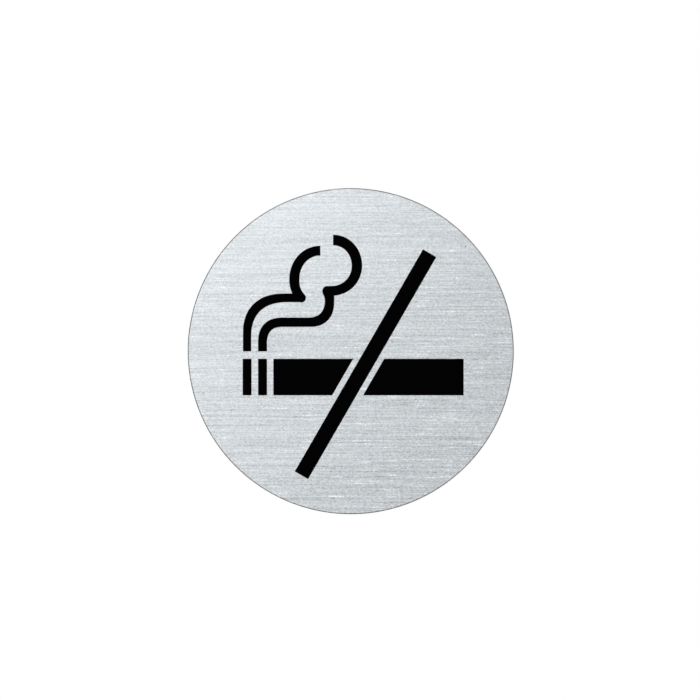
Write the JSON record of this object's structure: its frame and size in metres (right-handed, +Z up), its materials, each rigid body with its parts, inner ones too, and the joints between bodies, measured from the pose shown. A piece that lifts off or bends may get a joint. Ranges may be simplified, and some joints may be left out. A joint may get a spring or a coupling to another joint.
{
  "type": "no smoking sign",
  "caption": "Round brushed steel door sign with a black struck-through cigarette etched in its face and a foam adhesive pad on its back.",
  "frame": {"origin": "centre of the adhesive pad's rear face, on the surface that the sign is stuck to", "axes": "+Z up as the sign is read, +X to the reader's right, the face looks along -Y and +Y points into the wall"},
  "size_m": [0.075, 0.002, 0.075],
  "materials": {
    "brushed_steel": "stainless steel sheet with a straight brushed grain from left to right",
    "black_enamel": "black enamel filled into etched pockets and baked to a smooth satin gloss",
    "foam_pad": "white closed-cell acrylic foam, double-sided adhesive"
  },
  "bodies": {
    "root": {"plate": "brushed_steel", "prohibition_bar": "black_enamel", "cigarette_lit_end": "black_enamel", "cigarette_mouth_end": "black_enamel", "ash_stripe_outer": "black_enamel", "ash_stripe_inner": "black_enamel", "smoke_strand_outer": "black_enamel", "smoke_strand_inner": "black_enamel", "adhesive_pad": "foam_pad"}
  },
  "joints": []
}
